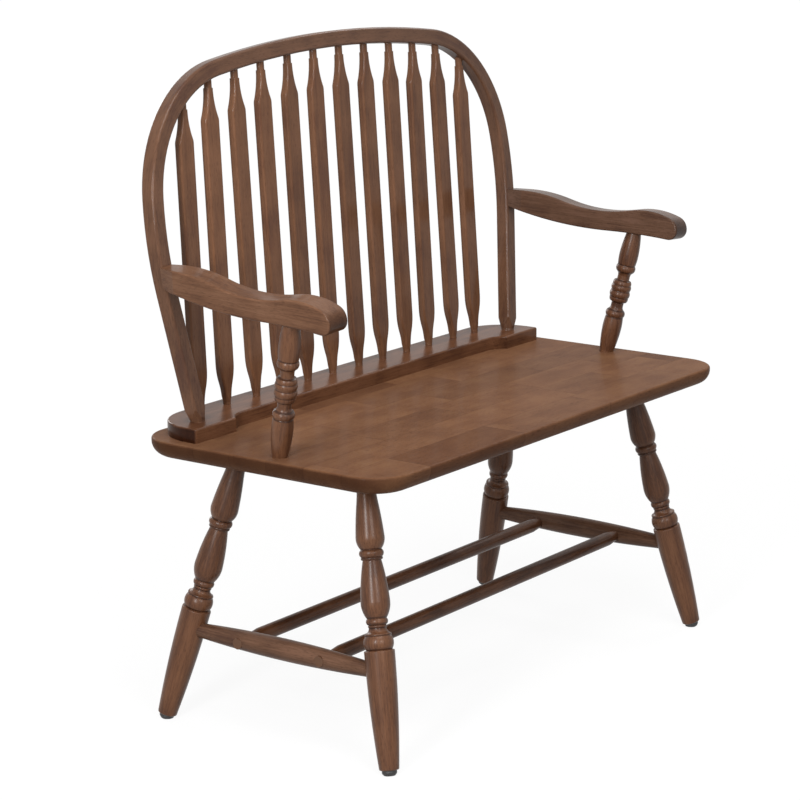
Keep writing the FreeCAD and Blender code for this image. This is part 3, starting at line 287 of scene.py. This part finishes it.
for side, tones in ARM_TONES.items():
    low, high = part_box("arm_" + side)
    way = Vector((ARM_TURN if side == "right" else -ARM_TURN, -1, -ARM_FALL)).normalized()
    material, tree = blank("rubberwood_arm_" + side)
    place = along_piece(tree, ((low[0] + high[0]) / 2, high[1], low[2]), way)
    colour, height = grain(tree, place, *tones)
    lacquer(tree, end_grain(tree, colour, tuple(way), 0.75), height, roughness=0.36)
    dress(material, "arm_" + side)

# %% [markdown]
# ## The bow
#
# The bow is bent from one straight stick, so its grain follows the curve. No straight axis can do that. We
# measure the distance from a rectangle inside the hoop, which is constant along the bow's sides and round
# its shoulders, and use it as the direction across the grain. Half the width plus the drop is near enough
# to the distance run from the top, and serves as the direction along it.

# %% Bow
HOOP_HALF_WIDTH, HOOP_TOP = 0.25, 0.80      # the rectangle inside the hoop, in metres

material, tree = blank("rubberwood_bent_bow")
x, y, z = add(tree, "SeparateXYZ", add(tree, "TexCoord").outputs["Object"]).outputs
half = add(tree, "Math", x, operation="ABSOLUTE")
squares = []
for coordinate, side in ((half, HOOP_HALF_WIDTH), (z, HOOP_TOP)):
    beyond = add(tree, "Math", coordinate, side, operation="SUBTRACT")
    outside = add(tree, "Math", beyond, 0.0, operation="MAXIMUM")
    squares.append(add(tree, "Math", outside, outside, operation="MULTIPLY"))
across = add(tree, "Math", add(tree, "Math", *squares, operation="ADD"), operation="SQRT")
run = add(tree, "Math", half, z, operation="SUBTRACT")
colour, height = grain(tree, add(tree, "CombineXYZ", across, y, run), "#674836", "#5c402f", "#4e3428", 0.9)
lacquer(tree, colour, height, roughness=0.34, film=0.24, film_roughness=0.12)
dress(material, "bow", "arm_plugs")

# %% [markdown]
# ## The spindles
#
# Twelve spindles come from twelve sticks, and no two sticks take the stain alike. The spindles stand 67 mm
# apart, so dividing a position by that spacing and rounding down gives each one a number, and a hash of it
# gives each a tone and a grain of its own.

# %% Spindles
SPINDLE_SPACING = 0.0675
SPINDLE_START, SPINDLE_LEAN = (0, 0.192, 0.479), (0, 0.075, 1)
STICK_SEED = 20.0
STICK_REACH = 2.0
DARKEST_STICK, STICK_SPREAD = 0.90, 0.16

material, tree = blank("rubberwood_spindle")
x = add(tree, "SeparateXYZ", add(tree, "TexCoord").outputs["Object"]).outputs[0]
stick = add(tree, "Math", add(tree, "Math", x, SPINDLE_SPACING, operation="DIVIDE"), operation="FLOOR")
stick_number = add(tree, "Math", stick, STICK_SEED, operation="ADD")
stick_value, stick_colour = add(tree, "TexWhiteNoise", W=stick_number, noise_dimensions="1D").outputs
place = elsewhere(tree, along_piece(tree, SPINDLE_START, SPINDLE_LEAN), stick_colour, STICK_REACH)
colour, height = grain(tree, place, "#6f4c36", "#664530", "#593a29", 0.85)
lighter = add(tree, "Math", stick_value, STICK_SPREAD, operation="MULTIPLY")
shade = add(tree, "Math", lighter, DARKEST_STICK, operation="ADD")
colour = add(tree, "VectorMath", colour, Scale=shade, operation="SCALE")
lacquer(tree, colour, height, film=0.25, film_roughness=0.12)
dress(material, *["spindle_%02d" % (i + 1) for i in range(12)])

# %% [markdown]
# ## Turned legs and posts
#
# Legs and posts are turned on a lathe. Each groove between the turned beads gets a dark line of painted
# shade, as if shade fell in the hollow. We know how far below its head each groove lies, so a colour ramp
# along the piece's own axis can place the lines. The left legs mirror the right ones, so the material folds
# one half onto the other.

# %% Legs and posts
GROOVE_SHADE, GROOVE_SHADE_COLOUR = 0.9, "#66493c"        # strength and colour of the painted shade in a groove
LEG_GROOVES = [(111.6, 1.8), (124.3, 2.2), (211.6, 1.8), (220.9, 1.8), (227.0, 2.6), (237.3, 1.6),
               (258.0, 1.8)]
POST_GROOVES = [(59.0, 1.8), (71.2, 2), (86.5, 1.8), (94.9, 1.2), (105.3, 1.2), (116.2, 1.2), (124.5, 2),
                (139.5, 2.2), (152.0, 1.8)]
FOOT_X, LEG_HEAD_X = 0.4386, 0.3709
SEAT_UNDERSIDE, SEAT_TOP = 0.4287, 0.457
LEG_Y = {"front": (-0.21642, -0.12372), "rear": (0.21558, 0.11168)}     # of the foot and the head
POST_FOOT, POST_HEAD = (0.451, -0.02842, SEAT_TOP), (0.4704, -0.06952, 0.6666)


def turned(name, foot, head, grooves):
    """Wood for a turned piece, with painted shade in each groove. Each groove is its distance below the head
    and half its width, in mm.
    """
    foot, head = Vector(foot), Vector(head)
    axis = head - foot
    material, tree = blank(name)
    place = along_piece(tree, foot, axis, mirror=True)
    colour, height = grain(tree, place, "#6b4832", "#5c3c29", "#492e20")
    up = add(tree, "SeparateXYZ", place).outputs[2]
    lines = add(tree, "ValToRGB", add(tree, "Math", up, axis.length, operation="DIVIDE"))
    stops = lines.color_ramp.elements
    stops[0].color = stops[1].color = (0, 0, 0, 1)
    for drop, half_width in grooves:
        for edge, value in ((-half_width, 0), (0, 1), (half_width, 0)):
            stop = stops.new(1 - (drop - edge) / 1000 / axis.length)
            stop.color = (value, value, value, 1)
    # Painted shade: each groove gets a dark line, as if shade fell in its hollow.
    groove_shade = add(tree, "Math", lines, GROOVE_SHADE, operation="MULTIPLY")
    groove_shaded = add(tree, "Mix", groove_shade, _6=colour, _7=GROOVE_SHADE_COLOUR, data_type="RGBA", blend_type="MULTIPLY")
    lacquer(tree, groove_shaded.outputs[2], height, roughness=0.37, sheen=0.12, film=0.2, film_roughness=0.26)
    print(name, "runs", round(axis.length * 1000), "mm")
    return material


for end, (foot_y, head_y) in LEG_Y.items():
    foot, head = (FOOT_X, foot_y, 0), (LEG_HEAD_X, head_y, SEAT_UNDERSIDE)
    material = turned("turned_leg_" + end, foot, head, LEG_GROOVES)
    dress(material, "leg_%s_left" % end, "leg_%s_right" % end)
dress(turned("turned_arm_post", POST_FOOT, POST_HEAD, POST_GROOVES), "arm_post_left", "arm_post_right")

# %% [markdown]
# ## The stretchers
#
# The stretchers are turned too, but have no grooves with painted shade in them, so plain grain along each one
# is enough. The cross stretchers are painted darker all over than the side ones, as painted shade. The cross
# stretchers pass right through the side ones, and their sawn ends show there. In the photograph those ends
# have the tone of the side stretcher round them, which is lighter than the cross stretchers themselves. So
# they get a colour of their own, and not the darker end grain.

# %% Stretchers
STRETCHER_Z = 0.146
SIDE_STRETCHER_X = 0.4155
TENON_COLOUR = "#5f4535"

material, tree = blank("turned_side_stretcher")
place = along_piece(tree, (SIDE_STRETCHER_X, 0, STRETCHER_Z), (0, 1, 0), mirror=True)
colour, height = grain(tree, place, "#6c4e3d", "#5d4232", "#4b3328")
lacquer(tree, end_grain(tree, colour, (0, 1, 0)), height)
dress(material, "side_stretcher_left", "side_stretcher_right")

material, tree = blank("turned_cross_stretcher_painted_shade")
place = along_piece(tree, (0, 0, STRETCHER_Z), (1, 0, 0))
# Painted shade: the cross stretchers get darker tones than the side ones, as if they stood in shade.
colour, height = grain(tree, place, "#5f3e2a", "#4f3221", "#3c2417")
colour = add(tree, "Mix", facing(tree, (1, 0, 0)), _6=colour, _7=TENON_COLOUR, data_type="RGBA").outputs[2]
lacquer(tree, colour, height)
dress(material, "long_stretcher_front", "long_stretcher_rear")

# %% [markdown]
# ## Glides and screws
#
# The glides are moulded nylon: black, a little rough from the mould, with scuffs where they have slid. The
# screws and nails are zinc-plated steel, which reflects like a slightly grey mirror that has been brushed.
#
# A mould's own texture is about a tenth of a millimetre, too fine to show, so it is drawn ten times as
# coarse. The scuffs and the patches of the plating keep their size, of several millimetres.

# %% Plastic and steel
MOULD_TEXTURE = 1 / 900             # sizes of the marks in metres: 1.1 mm
SCUFF = 1 / 120                     # 8 mm
PLATING_PATCH = 1 / 300             # 3 mm
MOULD_RELIEF, MOULD_STRENGTH = 0.0001, 0.3
NYLON_IOR = 1.53

material, tree = blank("moulded_nylon")
place = add(tree, "TexCoord").outputs["Object"]
texture = add(tree, "TexNoise", Vector=place, Scale=1 / MOULD_TEXTURE, Detail=2.0)
scuff = add(tree, "TexNoise", Vector=place, Scale=1 / SCUFF, Detail=3.0)
bump = add(tree, "Bump", Strength=MOULD_STRENGTH, Distance=MOULD_RELIEF, Height=texture)
black = add(tree, "Mix", scuff, _6="#141313", _7="#242120", data_type="RGBA").outputs[2]
surface = add(tree, "BsdfPrincipled", Base_Color=black, Normal=bump, Roughness=0.5, IOR=NYLON_IOR)
add(tree, "OutputMaterial", surface)
dress(material, *["glide_%s_%s" % (end, side) for end in ("front", "rear") for side in ("left", "right")])

material, tree = blank("zinc_plated_steel")
place = add(tree, "TexCoord").outputs["Object"]
patch = add(tree, "TexNoise", Vector=place, Scale=1 / PLATING_PATCH, Detail=2.0)
zinc = add(tree, "Mix", patch, _6="#a8aaad", _7="#c6c8ca", data_type="RGBA").outputs[2]
surface = add(tree, "BsdfPrincipled", Base_Color=zinc, Metallic=1.0, Roughness=0.35)
add(tree, "OutputMaterial", surface)
dress(material, "glide_nails", "rail_screws", "arm_screws")

# %% [markdown]
# ## The studio
#
# A product photograph on white has a large soft light above, a strong one at the side, weaker ones that
# fill the shadows, and a ground so bright that it disappears. Rays that come straight from the camera, or
# off a glossy surface, see the ground and the air as white; all other light treats them as grey. Near the
# bench the ground glows a little less, and the part that is missing is lit like paper. That is where the
# shadow shows.

# %% Floor and world
FLOOR_RADIUS = 14
GLOW = 1.02
NEAR, FAR = 1.0, 3.0                # metres from the middle: the ground glows less than fully up to FAR
NEAR_GLOW = 0.89
AIR_LIGHT = 0.29                    # what the air gives the bench, where the camera sees 1


def sees_white(tree):
    """1 for rays from the camera, a mirror or glass, and 0 for the rest."""
    ray = add(tree, "LightPath").outputs
    seen = add(tree, "Math", ray["Is Camera Ray"], ray["Is Glossy Ray"], operation="MAXIMUM")
    return add(tree, "Math", seen, ray["Is Transmission Ray"], operation="MAXIMUM")


bpy.ops.mesh.primitive_circle_add(vertices=96, radius=FLOOR_RADIUS, fill_type="NGON", location=(0, 0, 0))
floor = bpy.context.object
floor.name = "studio_floor"
material, tree = blank("studio_paper")
tone = add(tree, "Mix", sees_white(tree), _6="#8c8c8c", _7="#f0f0f0", data_type="RGBA").outputs[2]
paper = add(tree, "BsdfDiffuse", tone)
glow = add(tree, "Emission", Color="#ffffff", Strength=GLOW)
place = add(tree, "TexCoord").outputs["Object"]
outward = add(tree, "VectorMath", place, operation="LENGTH").outputs[1]
glowing = add(tree, "MapRange", outward, From_Min=NEAR, From_Max=FAR, To_Min=NEAR_GLOW)
bright = add(tree, "Math", sees_white(tree), glowing, operation="MULTIPLY")
add(tree, "OutputMaterial", add(tree, "MixShader", bright, paper, glow))
floor.data.materials.append(material)

world = bpy.data.worlds.new("studio_air")
bpy.context.scene.world = world
tree = empty_tree(world)
strength = add(tree, "MapRange", sees_white(tree), To_Min=AIR_LIGHT)
add(tree, "OutputWorld", add(tree, "Background", Color="#ffffff", Strength=strength))
print("ground", FLOOR_RADIUS, "m in radius, fully white from", FAR, "m outward")

# %% [markdown]
# ## The lamps
#
# Five soft boxes light the bench. The narrow one on the left is the strongest and draws the long highlights
# on the turned pieces. The one overhead lights the seat, and those in front, at the right and behind lift
# the shadows, so that the bench can be looked at from any side.


# %% Lamps
def softbox(name, place, aim, width, height, power):
    """A rectangular lamp at a place, turned to face a point. Sizes are in metres and the power in watts."""
    lamp = bpy.data.lights.new(name, "AREA")
    lamp.shape, lamp.size, lamp.size_y, lamp.energy = "RECTANGLE", width, height, power
    holder = bpy.data.objects.new(name, lamp)
    bpy.context.scene.collection.objects.link(holder)
    holder.location = place
    holder.rotation_euler = (Vector(aim) - Vector(place)).to_track_quat("-Z", "Y").to_euler()
    print(name, power, "W")


SEAT_MIDDLE, ARM_LEVEL = (0, 0, 0.5), (0, 0, 0.6)
softbox("overhead_softbox", (-0.8, -0.9, 3.3), SEAT_MIDDLE, 2.0, 1.4, 59)
softbox("left_strip", (-3.1, -0.6, 1.5), ARM_LEVEL, 0.5, 1.3, 72)
softbox("right_softbox", (3.1, 0.0, 3.1), ARM_LEVEL, 1.8, 0.9, 30)
softbox("front_softbox", (-1.9, -2.9, 1.9), SEAT_MIDDLE, 1.2, 1.2, 43)
softbox("back_softbox", (1.2, 3.4, 1.6), SEAT_MIDDLE, 1.2, 1.2, 34)

# %% [markdown]
# ## The camera
#
# The camera stands where the photographer stood: to the left of the bench, 13 degrees above its seat line
# and 4.6 metres away, with a long lens that keeps the far legs almost as large as the near ones. The
# photograph is tilted by a quarter of a degree, so the camera is too.

# %% Camera
azimuth, elevation, roll = math.radians(-53.86), math.radians(13.14), math.radians(-0.23)
distance = 4.6479
target = Vector((0.14289, 0.18684, 0.4))
back = Vector((math.sin(azimuth) * math.cos(elevation), -math.cos(azimuth) * math.cos(elevation),
               math.sin(elevation)))
right = Vector((math.cos(azimuth), math.sin(azimuth), 0))
up = back.cross(right)
tilted_right = right * math.cos(roll) + up * math.sin(roll)
tilted_up = up * math.cos(roll) - right * math.sin(roll)
lens = bpy.data.cameras.new("photo_camera")
lens.lens, lens.sensor_width, lens.clip_end = 124.19, 36.0, 100.0
camera = bpy.data.objects.new("photo_camera", lens)
bpy.context.scene.collection.objects.link(camera)
camera.matrix_world = (Matrix.Translation(target + back * distance)
                       @ Matrix((tilted_right, tilted_up, back)).transposed().to_4x4())
bpy.context.scene.camera = camera
bpy.context.scene.view_settings.view_transform = "Standard"
print("camera at", [round(v, 3) for v in camera.matrix_world.translation], "with a lens of", lens.lens, "mm")
